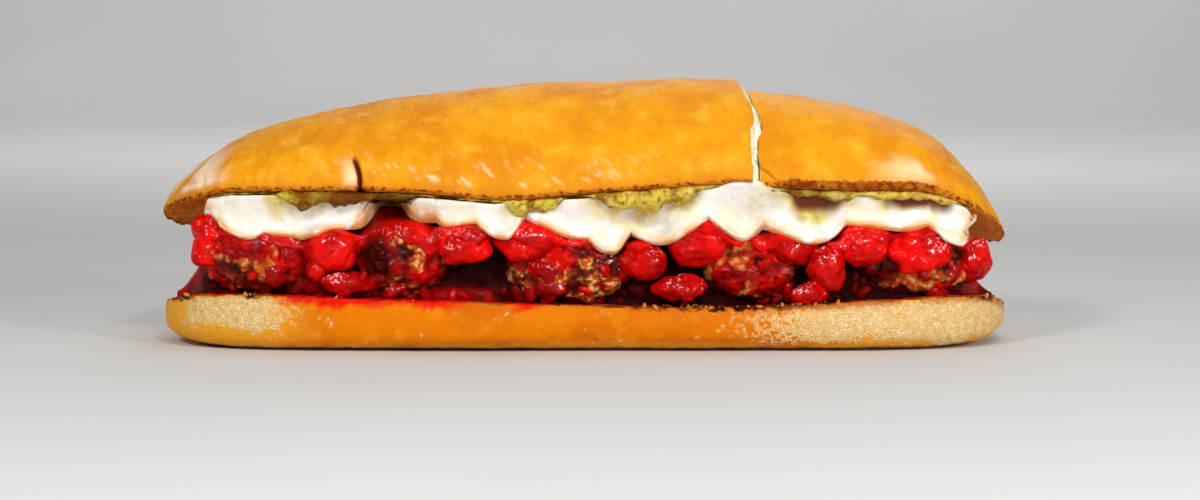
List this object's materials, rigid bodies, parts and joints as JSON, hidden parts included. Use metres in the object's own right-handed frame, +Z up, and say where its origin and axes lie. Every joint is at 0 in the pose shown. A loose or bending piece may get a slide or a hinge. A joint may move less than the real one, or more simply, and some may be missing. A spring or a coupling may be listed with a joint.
{
  "type": "meatball submarine sandwich",
  "caption": "Long soft roll cut through and filled with meatballs in tomato sauce, tomato pieces, melted mozzarella and a herb spread; lies on a flat underside.",
  "frame": {"origin": "middle of the roll's plan, on the surface that it rests on", "axes": "+X along the roll to the short end of the top half past the slash, -Y towards the shown side, +Z up"},
  "size_m": [0.27, 0.0812, 0.0837],
  "materials": {
    "crust": "glossy golden bread crust",
    "bottom_crust": "satin orange-brown crust with pale crumb patches",
    "meat": "rough browned meat under a wet glaze",
    "tomato": "wet bright red tomato",
    "sauce": "wet dark red sauce",
    "cheese": "smooth melted cheese",
    "herbs": "oily yellow-green spread"
  },
  "bodies": {
    "root": {"bottom_bun": "bottom_crust", "top_bun_left": "crust", "top_bun_right": "crust", "meatball_front_1": "meat", "meatball_front_2": "meat", "meatball_front_3": "meat", "meatball_front_4": "meat", "meatball_front_5": "meat", "meatball_back_1": "meat", "meatball_back_2": "meat", "meatball_back_3": "meat", "meatball_back_4": "meat", "meatball_back_5": "meat", "tomato_front_1": "tomato", "tomato_front_2": "tomato", "tomato_front_3": "tomato", "tomato_front_4": "tomato", "tomato_front_5": "tomato", "tomato_front_6": "tomato", "tomato_front_7": "tomato", "tomato_front_8": "tomato", "tomato_front_9": "tomato", "tomato_front_10": "tomato", "tomato_front_11": "tomato", "tomato_front_12": "tomato", "tomato_front_13": "tomato", "tomato_front_14": "tomato", "tomato_front_15": "tomato", "tomato_back_1": "tomato", "tomato_back_2": "tomato", "tomato_back_3": "tomato", "tomato_back_4": "tomato", "tomato_back_5": "tomato", "tomato_back_6": "tomato", "tomato_back_7": "tomato", "tomato_back_8": "tomato", "tomato_back_9": "tomato", "sauce_bed": "sauce", "mozzarella": "cheese", "herb_spread": "herbs"}
  },
  "joints": []
}
